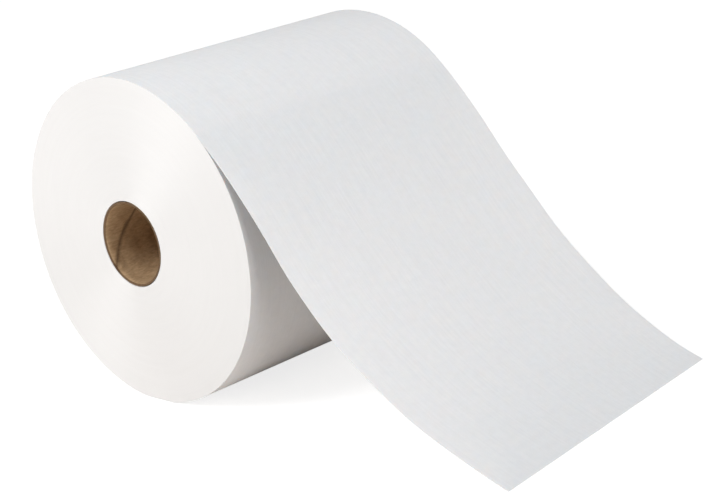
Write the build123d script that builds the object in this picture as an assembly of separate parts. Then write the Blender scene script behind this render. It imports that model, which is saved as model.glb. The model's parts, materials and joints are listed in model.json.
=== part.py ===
"""Hardwound paper towel roll, lying on its side with a length of towel pulled off over the top.

Millimetres. X runs the way the loose tail is pulled, Y runs along the roll, Z is up.
The origin is on the flat spot that the roll lies on, straight under the core's axis,
halfway between the outer turn's two edges. The floor is z = 0.
"""
from build123d import *
from math import cos, radians, sin, sqrt
import os

# ---- the web of paper, and the turns wound from it
roll_radius = 99.0            # outside of the last turn
web_width = 200.0             # towel width, which is the roll's length
sheet_thickness = 0.3         # loose creped towel
flat_half_width = 11.0        # half the flat spot that a soft roll lies on
telescope = 2.8               # inner turns and core pushed this far out of the -Y end
rim_width = 2.0               # outer turns that stay square to the axis

# ---- the core: a spiral-wound board tube
core_bore_radius = 24.5
core_wall = 1.5
core_length = 200.0
wrap_clearance = 0.2          # glue line between the core and the first turn

# ---- the loose tail: leaves the roll straight, then bows down to the floor
leave_angle = 45.0            # where it leaves, up from +X about the core's axis
straight_lead = 8.0           # length that runs straight off the roll
near_reach = 174.5            # -Y corner, from the roll's side out to the floor
far_reach = 153.6             # +Y corner: the end was torn a little out of square
landing_slope = 19.0          # slope at which the end edge meets the floor
near_leave_pull = 87.5        # how long the -Y edge keeps its direction off the roll
near_land_pull = 148.5        # how long it keeps its direction into the floor
far_leave_pull = 56.0         # the same for the +Y edge
far_land_pull = 95.0

axis_height = sqrt(roll_radius**2 - flat_half_width**2)
under_radius = roll_radius - sheet_thickness
core_radius = core_bore_radius + core_wall
wrap_radius = core_radius + wrap_clearance
near_y = -web_width / 2
far_y = web_width / 2

outward = Vector(cos(radians(leave_angle)), 0, sin(radians(leave_angle)))
along = Vector(outward.Z, 0, -outward.X)
landing = Vector(cos(radians(landing_slope)), 0, -sin(radians(landing_slope)))
landing_up = Vector(-landing.Z, 0, landing.X)
roll_centre = Vector(0, 0, axis_height)


def on_circle(radius, angle):
    """Point of the roll's cross-section at this radius and angle up from +X."""
    return roll_centre + Vector(cos(radians(angle)), 0, sin(radians(angle))) * radius


def wound_turns():
    """The turns as one solid: outer turn, flat spot, and the lip where the tail starts."""
    leave_outer = on_circle(roll_radius, leave_angle)
    lead_outer = leave_outer + along * straight_lead
    under_along = sqrt(under_radius**2 - straight_lead**2)
    lead_under = roll_centre + outward * under_along + along * straight_lead
    flat_left = Vector(-flat_half_width, 0, 0)
    flat_right = Vector(sqrt(under_radius**2 - axis_height**2), 0, 0)
    outline = Wire([
        Edge.make_line(flat_left, flat_right),
        Edge.make_three_point_arc(flat_right, on_circle(under_radius, -leave_angle), lead_under),
        Edge.make_line(lead_under, lead_outer),
        Edge.make_line(lead_outer, leave_outer),
        Edge.make_three_point_arc(leave_outer, on_circle(roll_radius, 180), flat_left),
    ])
    section = Face(outline).moved(Location((0, near_y, 0)))
    return extrude(section, amount=web_width, dir=(0, 1, 0))


def end_cone():
    """The cone by which inner turns stand out of one end and are drawn in at the other."""
    cone_radius = roll_radius - rim_width
    profile = Polyline(
        (0, near_y, 0),
        (cone_radius, near_y, 0),
        (wrap_radius, near_y - telescope, 0),
        (0, near_y - telescope, 0),
        close=True,
    )
    cone = revolve(make_face(profile), axis=Axis.Y)
    return cone.moved(Location(roll_centre))


def tail_section(y, reach, leave_pull, land_pull):
    """The sheet's section at one edge: two parallel curves, a sheet's thickness apart."""
    start_under = on_circle(roll_radius, leave_angle) + along * straight_lead
    start_under = start_under - outward * sheet_thickness
    end_under = Vector(roll_radius + reach, 0, 0)
    under = [
        start_under,
        start_under + along * leave_pull,
        end_under - landing * land_pull,
        end_under,
    ]
    lift = [outward, outward, landing_up, landing_up]
    upper = [point + up * sheet_thickness for point, up in zip(under, lift)]
    outline = Wire([
        Edge.make_bezier(*under),
        Edge.make_line(under[-1], upper[-1]),
        Edge.make_bezier(*reversed(upper)),
        Edge.make_line(upper[0], under[0]),
    ])
    return Face(outline).moved(Location((0, y, 0)))


def loose_tail():
    """The tail, ruled from its -Y edge to its +Y edge, so it twists a little as it falls."""
    near_edge = tail_section(near_y, near_reach, near_leave_pull, near_land_pull)
    far_edge = tail_section(far_y, far_reach, far_leave_pull, far_land_pull)
    return loft([near_edge, far_edge], ruled=True)


def paper_roll():
    """One continuous web: the wound turns, their telescoped ends and the loose tail."""
    cone = end_cone()
    turns = wound_turns() + cone
    turns = turns - cone.moved(Location((0, web_width, 0)))
    winding_hole = Cylinder(wrap_radius, 2 * web_width, rotation=(90, 0, 0)).moved(Location(roll_centre))
    turns = turns - winding_hole
    return turns + loose_tail()


def core_tube():
    """Board tube that the web is wound on, pushed out with the inner turns."""
    middle = roll_centre - Vector(0, telescope, 0)
    outside = Cylinder(core_radius, core_length, rotation=(90, 0, 0))
    inside = Cylinder(core_bore_radius, core_length, rotation=(90, 0, 0))
    return (outside - inside).moved(Location(middle))


os.makedirs("parts", exist_ok=True)
export_step(paper_roll(), "parts/paper_roll.step")
export_step(core_tube(), "parts/core_tube.step")
print("axis height", round(axis_height, 3), "core bore centre y", -telescope)
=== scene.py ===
"""A hardwound paper towel roll lying on its side, with a length of towel pulled off over the top.

Metres. X runs the way the tail is pulled, Y along the roll, Z up, and the floor is z = 0.
The file follows the roll as it is made: the board core, the web of towel wound on it, its loose
tail, and then the plain floor, light and camera.
"""
import json
from math import pi, radians

import bmesh
import bpy
import numpy as np
from mathutils import Matrix, Vector


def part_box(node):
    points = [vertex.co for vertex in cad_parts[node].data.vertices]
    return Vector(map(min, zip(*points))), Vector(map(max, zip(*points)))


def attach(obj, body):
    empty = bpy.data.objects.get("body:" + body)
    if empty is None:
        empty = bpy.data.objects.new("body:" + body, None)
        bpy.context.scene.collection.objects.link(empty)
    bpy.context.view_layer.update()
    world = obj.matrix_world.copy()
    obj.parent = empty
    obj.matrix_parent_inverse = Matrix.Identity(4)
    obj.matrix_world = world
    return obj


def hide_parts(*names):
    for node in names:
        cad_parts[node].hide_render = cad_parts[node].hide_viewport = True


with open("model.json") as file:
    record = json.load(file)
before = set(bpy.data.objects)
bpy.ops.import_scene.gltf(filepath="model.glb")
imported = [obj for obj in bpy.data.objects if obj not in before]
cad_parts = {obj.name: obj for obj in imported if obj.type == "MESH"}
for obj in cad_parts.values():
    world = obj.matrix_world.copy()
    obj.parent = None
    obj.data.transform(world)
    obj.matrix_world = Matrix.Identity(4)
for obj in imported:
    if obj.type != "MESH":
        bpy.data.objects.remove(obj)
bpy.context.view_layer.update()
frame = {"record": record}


# ---------------------------------------------------------------- the core
# A tube of kraft board, wound on the slant from strips glued face to face, and cut square.
# Each strip's edges meet in a shallow groove that runs round the tube as a helix.
core_low, core_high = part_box("core_tube")
core_radius = (core_high.x - core_low.x) / 2
core_bore_radius = frame["record"]["mounts"][1]["dims"]["r_mm"] / 1000
axis_height = (core_low.z + core_high.z) / 2
seam_lead = 0.105             # the strip's edge goes once round in this length
seam_start = radians(224)     # where the inner strip's edge meets the front end
seam_gap = 0.0014             # half width of the groove's soft sides
seam_depth = 0.0002
cut_round = 0.00025           # the saw leaves the cut edge a little soft
cut_shade_from = 0.0007            # painted shade on the cut ends starts this far inside them
cut_shade_full = 0.0002


def grid_faces(rows, columns, closed_rows=False, closed_columns=False):
    """Corner numbers of the quads of a grid of rows by columns, counted row by row."""
    i = np.arange(rows if closed_rows else rows - 1)[:, None]
    j = np.arange(columns if closed_columns else columns - 1)[None, :]
    i2, j2 = (i + 1) % rows, (j + 1) % columns
    corners = [i * columns + j, i * columns + j2, i2 * columns + j2, i2 * columns + j]
    return np.stack([np.broadcast_to(c, (i.size, j.size)) for c in corners], -1).reshape(-1, 4)


def mesh_object(name, points, faces):
    """A mesh object at the origin, made from whole arrays of points and quads."""
    mesh = bpy.data.meshes.new(name)
    mesh.from_pydata(points.reshape(-1, 3).tolist(), [], faces.tolist())
    piece = bpy.data.objects.new(name, mesh)
    bpy.context.scene.collection.objects.link(piece)
    return piece


def close_and_smooth(piece, crease=radians(50)):
    """Merge the joins, turn the faces outwards, and keep only true corners sharp."""
    bm = bmesh.new()
    bm.from_mesh(piece.data)
    bmesh.ops.remove_doubles(bm, verts=bm.verts, dist=2e-7)
    bmesh.ops.dissolve_degenerate(bm, edges=bm.edges, dist=2e-7)
    bmesh.ops.recalc_face_normals(bm, faces=bm.faces)
    for face in bm.faces:
        face.smooth = True
    for edge in bm.edges:
        edge.smooth = len(edge.link_faces) == 2 and edge.calc_face_angle(pi) < crease
    bm.to_mesh(piece.data)
    bm.free()


def core_surface():
    """Tube wall: a closed section of the wall carried round the axis, sheared along the strip's slant.

    With a the angle at the front end and d the depth into the tube, a point stands at angle
    a - 2 pi d / lead. So the seam is the line a = seam_start, and the grid is finer beside it.
    """
    coarse = np.linspace(0, 2 * pi, 120, endpoint=False)
    fine = seam_start + np.linspace(-3, 3, 25) * seam_gap / core_bore_radius
    keep = np.abs(coarse - seam_start) > 4 * seam_gap / core_bore_radius
    start_angle = np.sort(np.concatenate([coarse[keep], fine]))
    length = core_high.y - core_low.y
    inner_depth = np.linspace(cut_round, length - cut_round, 90)
    end_radius = np.linspace(core_bore_radius + cut_round, core_radius - cut_round, 6)
    outer_depth = inner_depth[::-6]
    radius = np.concatenate([
        np.full(inner_depth.size, core_bore_radius), end_radius,
        np.full(outer_depth.size, core_radius), end_radius[::-1],
    ])
    depth = np.concatenate([
        inner_depth, np.full(end_radius.size, length),
        outer_depth, np.zeros(end_radius.size),
    ])
    inside = (np.arange(radius.size) < inner_depth.size)[:, None]
    angle = start_angle[None, :] - 2 * pi * depth[:, None] / seam_lead
    beside = (start_angle - seam_start) * core_bore_radius / seam_gap
    groove = seam_depth * np.exp(-beside**2)[None, :] * inside
    wall = radius[:, None] + groove
    points = np.stack([
        wall * np.cos(angle),
        np.broadcast_to(core_low.y + depth[:, None], angle.shape),
        axis_height + wall * np.sin(angle),
    ], -1)
    return points, grid_faces(*angle.shape, closed_rows=True, closed_columns=True)


core = mesh_object("core_board_tube", *core_surface())
close_and_smooth(core)


def shader_material(name):
    """A new material with a Principled shader, and a short way to add and join its nodes."""
    material = bpy.data.materials.new(name)
    material.use_nodes = True
    tree = material.node_tree
    shader = tree.nodes["Principled BSDF"]

    def add(kind, inputs=(), **settings):
        node = tree.nodes.new(kind)
        for key, value in settings.items():
            setattr(node, key, value)
        for socket, value in dict(inputs).items():
            if isinstance(value, bpy.types.NodeSocket):
                tree.links.new(value, node.inputs[socket])
            else:
                node.inputs[socket].default_value = value
        return node

    return material, shader, add, tree.links.new


def kraft_board():
    """Brown board: fibres that lie along the strip, blotches, a dark seam line, and painted shade on the
    cut ends.
    """
    material, shader, add, join = shader_material("kraft_board")
    place = add("ShaderNodeTexCoord").outputs["Object"]
    centred = add("ShaderNodeMapping", {"Vector": place, "Location": (0, 0, -axis_height)}).outputs[0]
    split = add("ShaderNodeSeparateXYZ", {0: centred}).outputs
    angle = add("ShaderNodeMath", {0: split[2], 1: split[0]}, operation="ARCTAN2").outputs[0]
    depth = add("ShaderNodeMath", {0: split[1], 1: core_low.y}, operation="SUBTRACT").outputs[0]
    turn = add("ShaderNodeMath", {0: depth, 1: 2 * pi / seam_lead, 2: angle},
               operation="MULTIPLY_ADD").outputs[0]
    from_seam = add("ShaderNodeMath", {0: turn, 1: -seam_start}, operation="ADD").outputs[0]
    half_turn = add("ShaderNodeMath", {0: from_seam, 1: 0.5}, operation="MULTIPLY").outputs[0]
    wave = add("ShaderNodeMath", {0: half_turn}, operation="SINE").outputs[0]
    off_seam = add("ShaderNodeMath", {0: wave}, operation="ABSOLUTE").outputs[0]
    seam = add("ShaderNodeMapRange", {"Value": off_seam, "From Min": 0.0, "From Max": 0.075,
                                      "To Min": 1.0, "To Max": 0.0}).outputs[0]
    fibres = add("ShaderNodeTexNoise", {"Vector": add("ShaderNodeMapping", {
        "Vector": centred, "Rotation": (0, radians(30), 0), "Scale": (900, 260, 900)}).outputs[0],
        "Scale": 1.0, "Detail": 5.0, "Roughness": 0.65}).outputs[0]
    blotches = add("ShaderNodeTexNoise", {"Vector": centred, "Scale": 130.0, "Detail": 3.0}).outputs[0]
    shade = add("ShaderNodeMath", {0: blotches, 1: 0.5, 2: fibres}, operation="MULTIPLY_ADD").outputs[0]
    ramp = add("ShaderNodeValToRGB", {0: shade})
    ramp.color_ramp.elements[0].position = 0.45
    ramp.color_ramp.elements[0].color = (0.33, 0.21, 0.11, 1)
    ramp.color_ramp.elements[1].position = 1.0
    ramp.color_ramp.elements[1].color = (0.62, 0.435, 0.26, 1)
    length = core_high.y - core_low.y
    from_middle = add("ShaderNodeMath", {0: depth, 1: length / 2}, operation="SUBTRACT").outputs[0]
    off_middle = add("ShaderNodeMath", {0: from_middle}, operation="ABSOLUTE").outputs[0]
    # Painted shade: the cut end faces and the board just inside them are darkened, as shade along the cut
    # edge.
    cut_end_shade = add("ShaderNodeMapRange", {
        "Value": off_middle, "From Min": length / 2 - cut_shade_from, "From Max": length / 2 - cut_shade_full,
        "To Min": 0.0, "To Max": 0.85}).outputs[0]
    # The dark seam line and the painted shade on the cut ends, together.
    seam_and_cut_shade = add("ShaderNodeMath", {0: seam, 1: 0.7, 2: cut_end_shade}, operation="MULTIPLY_ADD",
                     use_clamp=True).outputs[0]
    colour = add("ShaderNodeMix", {0: seam_and_cut_shade, 6: ramp.outputs[0], 7: (0.10, 0.055, 0.026, 1)},
                 data_type="RGBA").outputs[2]
    join(colour, shader.inputs["Base Color"])
    shader.inputs["Roughness"].default_value = 0.78
    shader.inputs["Specular IOR Level"].default_value = 0.3
    relief = add("ShaderNodeBump", {"Height": fibres, "Strength": 0.2, "Distance": 0.0001}).outputs[0]
    join(relief, shader.inputs["Normal"])
    return material


core.data.materials.append(kraft_board())
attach(core, "root")
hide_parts("core_tube")


# ---------------------------------------------------------------- the web of towel
# One sheet of soft creped paper, slit to width, glued to the core at one end and wound hard.
# The turns are one spiral. Its last stretch comes off over the top as the loose tail.
roll_low, roll_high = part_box("paper_roll")
roll_radius = -roll_low.x
half_width = roll_high.y
telescope = -roll_low.y - half_width
sheet_thickness = 0.0003
wrap_clearance = 0.0002
wrap_radius = core_radius + wrap_clearance
rim_width = 0.002             # the outermost turns stand level with the web's edge
leave_angle = radians(45)
landing_slope = radians(19)
straight_lead = 0.008         # the sheet runs straight off the roll before it starts to bow
near_end = roll_high.x
out_of_square = 0.0209        # the torn end comes this much short at the far edge
far_end = near_end - out_of_square
near_pull = (0.0875, 0.1485)  # how long each edge keeps its direction off the roll and into the floor
far_pull = (0.056, 0.095)
edge_droop = 0.00035
droop_width = 0.003
give_depth = 0.006            # the flat fades out over about this depth of turns
fade_outside = 0.004          # the turns' own wander starts from nothing at both skins
fade_inside = 0.003
drawn_turns = 78              # turns of the spiral that the ends are drawn with
arc_steps = 264
width_steps = 84
tail_steps = 150

rng = np.random.default_rng(20)


def smooth_step(value):
    """0 below 0, 1 above 1, and 3 v^2 - 2 v^3 between."""
    v = np.clip(value, 0, 1)
    return v * v * (3 - 2 * v)


def wander(length, knots, size):
    """A smooth random curve: cosine-eased steps between random heights, over 0 to length."""
    heights = rng.normal(0, size, knots + 1)

    def curve(x):
        t = np.clip(np.asarray(x) / length, 0, 1) * knots
        k = np.minimum(t.astype(int), knots - 1)
        return heights[k] + (heights[k + 1] - heights[k]) * smooth_step(t - k)

    return curve


slow_shift = wander(roll_radius, 9, 0.00008)
turn_shift = wander(roll_radius, 46, 0.000022)
fine_shift = wander(roll_radius, 190, 0.000016)


def spiral_radius(turn):
    """Radius at this many turns in from the outside: one sheet for the first, wider after it."""
    rest = roll_radius - wrap_radius - sheet_thickness * drawn_turns
    inner = np.maximum(turn - 1, 0) / (drawn_turns - 1)
    return roll_radius - sheet_thickness * turn - rest * inner**1.15


def flattened(radius, angle):
    """The turns near the floor give a little: the outer one lies on z = 0, those inside it less."""
    down = np.maximum(-np.sin(angle), 1e-6)
    over = np.maximum(roll_radius - axis_height / down, 0)
    return radius - over * np.exp(-(roll_radius - radius) / give_depth)


def end_shift(radius):
    """How far a turn stands towards the front: the telescoped cone, and each turn's own wander."""
    level_radius = roll_radius - rim_width
    cone = np.clip((level_radius - radius) / (level_radius - wrap_radius), 0, 1)
    own = slow_shift(radius) + turn_shift(radius) + fine_shift(radius)
    fade = smooth_step((roll_radius - radius) / fade_outside)
    fade = fade * smooth_step((radius - wrap_radius) / fade_inside)
    return telescope * cone + own * fade


arc_angle = leave_angle + np.linspace(0, 2 * pi, arc_steps + 1)
arc_turn = np.linspace(0, 1, arc_steps + 1)


def end_points(side):
    """One end of the roll: a spiral in angle and turn, from the outer turn in to the core."""
    turn = np.arange(drawn_turns)[None, :] + arc_turn[:, None]
    radius = np.concatenate([spiral_radius(turn), np.full((arc_steps + 1, 1), wrap_radius)], 1)
    angle = arc_angle[:, None]
    radius = flattened(radius, angle)
    y = side * half_width - end_shift(radius)
    return np.stack([radius * np.cos(angle), y, axis_height + radius * np.sin(angle)], -1)


def edge_curve(end, pull, t):
    """Bow of one edge of the tail's upper side: a cubic from the roll to the floor."""
    outward = np.array([np.cos(leave_angle), np.sin(leave_angle)])
    along = np.array([outward[1], -outward[0]])
    landing = np.array([np.cos(landing_slope), -np.sin(landing_slope)])
    start = np.array([0, axis_height]) + outward * roll_radius
    lead = start + along * straight_lead
    floor = np.array([end, sheet_thickness * np.cos(landing_slope)])
    hold = [lead, lead + along * pull[0], floor - landing * pull[1], floor]
    bow_length = 0.26
    share = straight_lead / (straight_lead + bow_length)
    s = np.clip((t - share) / (1 - share), 0, 1)[:, None]
    bow = (1 - s)**3 * hold[0] + 3 * (1 - s)**2 * s * hold[1]
    bow = bow + 3 * (1 - s) * s**2 * hold[2] + s**3 * hold[3]
    straight = start + (lead - start) * np.clip(t / share, 0, 1)[:, None]
    return np.where((t < share)[:, None], straight, bow)


def tail_points():
    """The tail's upper and under sides: ruled between its two edges, with a little cockle.

    The cockle is a sum of long waves that grow from nothing at the roll, along the sheet's normal.
    The slit edges turn down a little: by edge_droop times exp(-(distance to the edge / droop_width)^2).
    """
    t = np.linspace(0, 1, tail_steps + 1)
    v = np.linspace(0, 1, width_steps + 1)
    near = edge_curve(near_end, near_pull, t)[:, None, :]
    far = edge_curve(far_end, far_pull, t)[:, None, :]
    plane = near + (far - near) * v[None, :, None]
    x, z = plane[..., 0], plane[..., 1]
    y = np.broadcast_to(-half_width + 2 * half_width * v, x.shape)
    middle = np.stack([x, y, z], -1)
    run = np.gradient(middle, axis=0)
    cross = np.gradient(middle, axis=1)
    normal = np.cross(run, cross)
    normal /= np.linalg.norm(normal, axis=-1, keepdims=True)
    grow = (smooth_step(t * 1.6) * smooth_step((1 - t) * 9))[:, None]
    tt, vv = t[:, None], v[None, :]
    edge = np.exp(-vv / 0.12) + np.exp(-(1 - vv) / 0.12)
    cockle = 0.00035 * np.sin(2 * pi * (1.7 * tt + 0.9 * vv) + 0.4)
    cockle = cockle + 0.00022 * np.sin(2 * pi * (3.1 * tt - 1.6 * vv) + 2.1)
    cockle = cockle + 0.00028 * edge * np.sin(2 * pi * (4.3 * tt + 1.2 * vv) + 1.0)
    off_edge = (half_width - np.abs(y)) / droop_width
    cockle = cockle - edge_droop * np.exp(-off_edge**2)
    top = middle + normal * (cockle * grow)[..., None]
    under = top - normal * sheet_thickness
    length = np.concatenate([[0], np.cumsum(np.linalg.norm(np.diff(top[:, 0], axis=0), axis=-1))])
    return top, under, length


def web_mesh():
    """All the web's outside as one closed surface: outer turn, both ends, bore, and the tail."""
    v = np.linspace(-half_width, half_width, width_steps + 1)
    outer_radius = flattened(spiral_radius(arc_turn), arc_angle)[:, None]
    ones = np.ones_like(v)[None, :]
    outer = np.stack([
        outer_radius * np.cos(arc_angle)[:, None] * ones,
        np.broadcast_to(v, (arc_steps + 1, v.size)),
        axis_height + outer_radius * np.sin(arc_angle)[:, None] * ones,
    ], -1)
    top, under, length = tail_points()
    top[0], under[0] = outer[0], outer[-1]
    front, back = end_points(-1), end_points(1)
    along = np.linspace(0, 1, 9)[None, :, None]
    bore = front[:, -1:, :] + (back[:, -1:, :] - front[:, -1:, :]) * along
    near_edge = np.stack([top[:, 0], under[:, 0]], 1)
    far_edge = np.stack([top[:, -1], under[:, -1]], 1)
    torn_end = np.stack([top[-1], under[-1]], 0)
    arc_length = -roll_radius * (arc_angle - leave_angle)
    across = v[None, :]
    patches = [
        (outer, np.stack(np.broadcast_arrays(arc_length[:, None], across), -1), 0),
        (top, np.stack(np.broadcast_arrays(length[:, None], across), -1), 0),
        (under, np.stack(np.broadcast_arrays(length[:, None] - 2 * pi * roll_radius, across), -1), 0),
        (front, None, 1),
        (back, None, 1),
        (bore, None, 1),
        (near_edge, None, 0),
        (far_edge, None, 0),
        (torn_end, None, 0),
    ]
    points, faces, corner_uv, finish = [], [], [], []
    count = 0
    for patch, uv, slot_number in patches:
        rows, columns = patch.shape[:2]
        if uv is None:
            round_axis = np.arange(rows)[:, None] * roll_radius * 2 * pi / arc_steps
            round_axis = np.broadcast_to(round_axis, (rows, columns))
            inward = np.linalg.norm(patch[..., [0, 2]] - [0, axis_height], axis=-1)
            uv = np.stack([round_axis, inward], -1)
        quads = grid_faces(rows, columns)
        points.append(patch.reshape(-1, 3))
        faces.append(quads + count)
        corner_uv.append(uv.reshape(-1, 2)[quads])
        finish.append(np.full(len(quads), slot_number))
        count += rows * columns
    return np.concatenate(points), np.concatenate(faces), np.concatenate(corner_uv), np.concatenate(finish)


web_points, web_faces, web_uv, web_finish = web_mesh()
web = mesh_object("towel_web", web_points, web_faces)
web.data.uv_layers.new(name="web").data.foreach_set("uv", web_uv.astype(np.float32).ravel())


def creped_towel():
    """The towel's face: fine crepe ridges across the web, faint streaks along it, soft clouding."""
    material, shader, add, join = shader_material("creped_towel")
    web_place = add("ShaderNodeUVMap", uv_map="web").outputs[0]
    crepe = add("ShaderNodeTexNoise", {"Vector": add("ShaderNodeMapping", {
        "Vector": web_place, "Scale": (1900, 330, 1)}).outputs[0],
        "Scale": 1.0, "Detail": 4.0, "Roughness": 0.6}, noise_dimensions="2D").outputs[0]
    streaks = add("ShaderNodeTexNoise", {"Vector": add("ShaderNodeMapping", {
        "Vector": web_place, "Scale": (22, 620, 1)}).outputs[0],
        "Scale": 1.0, "Detail": 3.0, "Roughness": 0.55}, noise_dimensions="2D").outputs[0]
    clouds = add("ShaderNodeTexNoise", {"Vector": web_place, "Scale": 210.0, "Detail": 4.0,
                                        "Roughness": 0.6}, noise_dimensions="2D").outputs[0]
    tone = add("ShaderNodeMath", {0: streaks, 1: clouds}, operation="ADD").outputs[0]
    mean_tone = add("ShaderNodeMath", {0: tone, 1: 0.5}, operation="MULTIPLY").outputs[0]
    ramp = add("ShaderNodeValToRGB", {0: mean_tone})
    ramp.color_ramp.elements[0].position = 0.3
    ramp.color_ramp.elements[0].color = (0.795, 0.806, 0.823, 1)
    ramp.color_ramp.elements[1].position = 0.7
    ramp.color_ramp.elements[1].color = (0.842, 0.851, 0.866, 1)
    join(ramp.outputs[0], shader.inputs["Base Color"])
    shader.inputs["Roughness"].default_value = 0.88
    shader.inputs["Specular IOR Level"].default_value = 0.25
    shader.inputs["Subsurface Weight"].default_value = 1.0
    shader.inputs["Subsurface Radius"].default_value = (1.15, 1.0, 0.9)
    shader.inputs["Subsurface Scale"].default_value = 0.0004
    height = add("ShaderNodeMath", {0: streaks, 1: 1.2, 2: crepe}, operation="MULTIPLY_ADD").outputs[0]
    relief = add("ShaderNodeBump", {"Height": height, "Strength": 0.5, "Distance": 0.00012}).outputs[0]
    join(relief, shader.inputs["Normal"])
    return material


def wound_edges():
    """The roll's ends: hundreds of slit paper edges, as fine rings that throw a fan of light across."""
    material, shader, add, join = shader_material("wound_edges")
    place = add("ShaderNodeTexCoord").outputs["Object"]
    centred = add("ShaderNodeMapping", {"Vector": place, "Location": (0, 0, -axis_height)}).outputs[0]
    flat = add("ShaderNodeVectorMath", {0: centred, 1: (1, 0, 1)}, operation="MULTIPLY").outputs[0]
    radius = add("ShaderNodeVectorMath", {0: flat}, operation="LENGTH").outputs["Value"]
    bearing = add("ShaderNodeVectorMath", {0: flat}, operation="NORMALIZE").outputs[0]
    spread = add("ShaderNodeVectorMath", {0: bearing, "Scale": 1.6}, operation="SCALE").outputs[0]
    parts = add("ShaderNodeSeparateXYZ", {0: spread}).outputs

    def rings(pitch, detail):
        reach = add("ShaderNodeMath", {0: radius, 1: 1 / pitch}, operation="MULTIPLY").outputs[0]
        where = add("ShaderNodeCombineXYZ", {0: parts[0], 1: reach, 2: parts[2]}).outputs[0]
        return add("ShaderNodeTexNoise", {"Vector": where, "Scale": 1.0, "Detail": detail,
                                          "Roughness": 0.6}).outputs[0]

    fine, broad = rings(0.00024, 2.0), rings(0.0021, 3.0)
    tone = add("ShaderNodeMath", {0: fine, 1: broad}, operation="ADD").outputs[0]
    mean_tone = add("ShaderNodeMath", {0: tone, 1: 0.5}, operation="MULTIPLY").outputs[0]
    ramp = add("ShaderNodeValToRGB", {0: mean_tone})
    ramp.color_ramp.elements[0].position = 0.3
    ramp.color_ramp.elements[0].color = (0.850, 0.854, 0.857, 1)
    ramp.color_ramp.elements[1].position = 0.7
    ramp.color_ramp.elements[1].color = (0.872, 0.877, 0.881, 1)
    join(ramp.outputs[0], shader.inputs["Base Color"])
    shader.inputs["Roughness"].default_value = 0.8
    shader.inputs["IOR"].default_value = 1.8
    shader.inputs["Specular IOR Level"].default_value = 1.0
    shader.inputs["Anisotropic"].default_value = 0.8
    shader.inputs["Anisotropic Rotation"].default_value = 0.25
    tangent = add("ShaderNodeTangent", direction_type="UV_MAP", uv_map="web").outputs[0]
    join(tangent, shader.inputs["Tangent"])
    relief = add("ShaderNodeBump", {"Height": fine, "Strength": 0.05, "Distance": 0.0001}).outputs[0]
    join(relief, shader.inputs["Normal"])
    return material


web.data.materials.append(creped_towel())
web.data.materials.append(wound_edges())
web.data.polygons.foreach_set("material_index", web_finish.astype(np.int32))
close_and_smooth(web)
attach(web, "root")
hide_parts("paper_roll")


# ---------------------------------------------------------------- the floor and the light
# A plain pale floor that reads as white. One soft lamp in front and above lights the ends and the
# top, wide lamps at the side and the back light the tail and the far side, and the surround is even.
def white_floor():
    """Pale floor: a little warm where it throws light back, and white with a soft shadow to the eye."""
    material, shader, add, join = shader_material("white_floor")
    tree = material.node_tree
    shader.inputs["Roughness"].default_value = 1.0
    shader.inputs["Specular IOR Level"].default_value = 0.0
    path = add("ShaderNodeLightPath").outputs
    seen = add("ShaderNodeMath", {0: path["Is Camera Ray"], 1: path["Is Glossy Ray"]},
               operation="MAXIMUM").outputs[0]
    seen = add("ShaderNodeMath", {0: seen, 1: path["Is Transmission Ray"]},
               operation="MAXIMUM").outputs[0]
    shade = add("ShaderNodeMix", {0: seen, 6: (0.92, 0.85, 0.79, 1), 7: (0.50, 0.50, 0.50, 1)},
                data_type="RGBA")
    join(shade.outputs[2], shader.inputs["Base Color"])
    glow = add("ShaderNodeEmission", {"Color": (1, 1, 1, 1), "Strength": 0.78}).outputs[0]
    lifted = add("ShaderNodeAddShader", {0: shader.outputs[0], 1: glow}).outputs[0]
    mixed = add("ShaderNodeMixShader", {0: seen, 1: shader.outputs[0], 2: lifted}).outputs[0]
    join(mixed, tree.nodes["Material Output"].inputs["Surface"])
    return material


floor_reach = 6.0
corner = np.array([-1.0, 1.0]) * floor_reach
floor_points = np.stack([*np.meshgrid(corner, corner, indexing="ij"), np.full((2, 2), -0.00005)], -1)
floor = mesh_object("floor", floor_points, grid_faces(2, 2)[:, ::-1])
floor.data.materials.append(white_floor())

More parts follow.
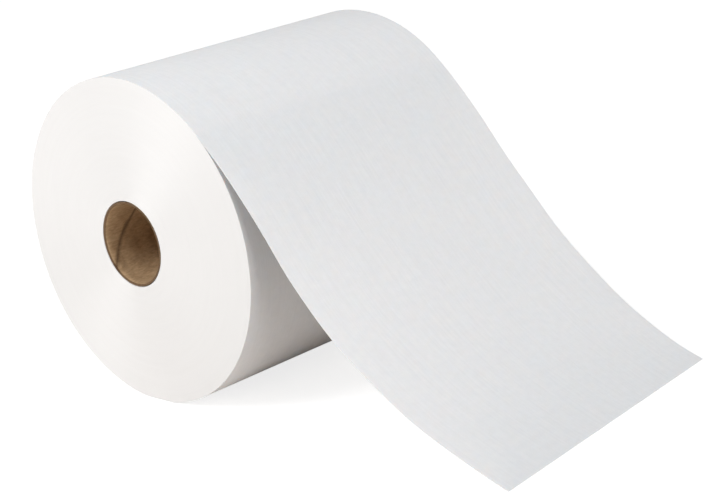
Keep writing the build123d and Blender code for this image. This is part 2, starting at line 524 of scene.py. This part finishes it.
world = bpy.data.worlds.new("surround")
bpy.context.scene.world = world
world.use_nodes = True
sky = world.node_tree
sky_light = sky.nodes["Background"]
sky_light.inputs["Color"].default_value = (1.0, 1.0, 1.0, 1)
sky_light.inputs["Strength"].default_value = 0.21
sky_white = sky.nodes.new("ShaderNodeBackground")
sky_white.inputs["Color"].default_value = (1.0, 1.0, 1.0, 1)
sky_path = sky.nodes.new("ShaderNodeLightPath")
sky_mix = sky.nodes.new("ShaderNodeMixShader")
sky.links.new(sky_path.outputs["Is Camera Ray"], sky_mix.inputs[0])
sky.links.new(sky_light.outputs[0], sky_mix.inputs[1])
sky.links.new(sky_white.outputs[0], sky_mix.inputs[2])
sky.links.new(sky_mix.outputs[0], sky.nodes["World Output"].inputs["Surface"])

key_from = Vector((-0.15, -0.76, 0.63)).normalized()
key_distance = 1.6
key_level = 2.05
key_size = 0.8
key = bpy.data.objects.new("key_light", bpy.data.lights.new("key_light", "AREA"))
key.data.energy = key_level * pi * key_distance**2
key.data.size = key_size
key.location = Vector((0, 0, axis_height)) + key_from * key_distance
key.rotation_euler = key_from.to_track_quat("Z", "Y").to_euler()
bpy.context.scene.collection.objects.link(key)


def soft_sun(name, come_from, level, spread):
    """A wide far lamp that shines from come_from, with this level and angular width."""
    sun = bpy.data.objects.new(name, bpy.data.lights.new(name, "SUN"))
    sun.data.energy = level
    sun.data.angle = radians(spread)
    sun.rotation_euler = Vector(come_from).to_track_quat("Z", "Y").to_euler()
    bpy.context.scene.collection.objects.link(sun)


soft_sun("side_light", (0.95, 0.1, 0.32), 1.75, 50)
soft_sun("back_light", (-0.5, 0.8, 0.3), 0.7, 60)


# ---------------------------------------------------------------- the camera
# It looks down along the roll from the front and the tail's side, a little out of level.
camera = bpy.data.objects.new("camera", bpy.data.cameras.new("camera"))
camera.data.sensor_width = 36
camera.data.lens = 95.37
camera_turn = 46.254          # degrees round from looking along +Y
camera_down = 16.085
camera_lean = -6.991
stand = Matrix.Translation((0.8655, -0.7495, 0.3873))
turn = Matrix.Rotation(radians(camera_turn), 4, "Z")
tilt = Matrix.Rotation(radians(90 - camera_down), 4, "X")
lean = Matrix.Rotation(radians(camera_lean), 4, "Z")
camera.matrix_world = stand @ turn @ tilt @ lean
bpy.context.scene.collection.objects.link(camera)
bpy.context.scene.camera = camera
bpy.context.scene.view_settings.view_transform = "Standard"
